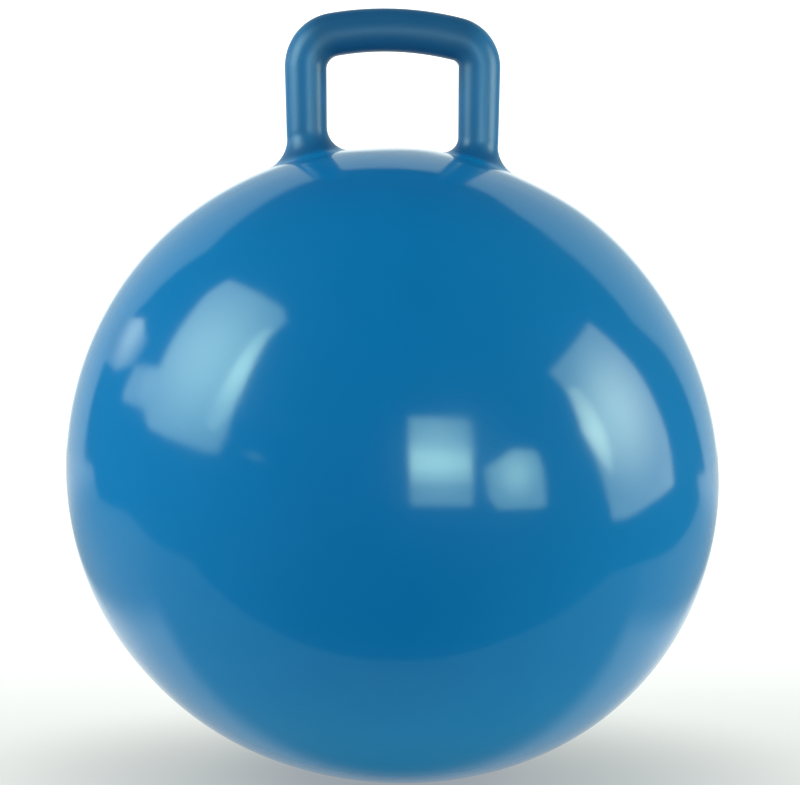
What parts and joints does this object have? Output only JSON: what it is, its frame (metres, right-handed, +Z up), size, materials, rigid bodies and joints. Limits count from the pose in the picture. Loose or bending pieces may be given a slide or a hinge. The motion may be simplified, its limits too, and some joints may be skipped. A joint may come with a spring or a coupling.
{
  "type": "hopper ball",
  "caption": "Blown-up bouncing ball with a hollow loop handle moulded on its crown, a flattened base and a push-in air valve between the handle's legs.",
  "frame": {"origin": "middle of the flat patch that the ball rests on", "axes": "+Z up through the crown; the loop of the handle lies in the XZ plane, its bar along X"},
  "size_m": [0.5, 0.5, 0.591],
  "materials": {
    "ball_skin": "soft glossy vinyl, blue",
    "handle": "soft glossy vinyl, blue",
    "valve_seat": "soft glossy vinyl, blue",
    "valve_plug": "satin plastic, off-white"
  },
  "bodies": {
    "ball": {"ball_skin": "ball_skin", "handle": "handle", "valve_seat": "valve_seat"},
    "plug": {"valve_plug": "valve_plug"}
  },
  "joints": [
    {"name": "plug_pull", "type": "slide", "parent": "ball", "child": "plug", "axis": [0, 0, 1], "range_m": [0, 0.03]}
  ]
}
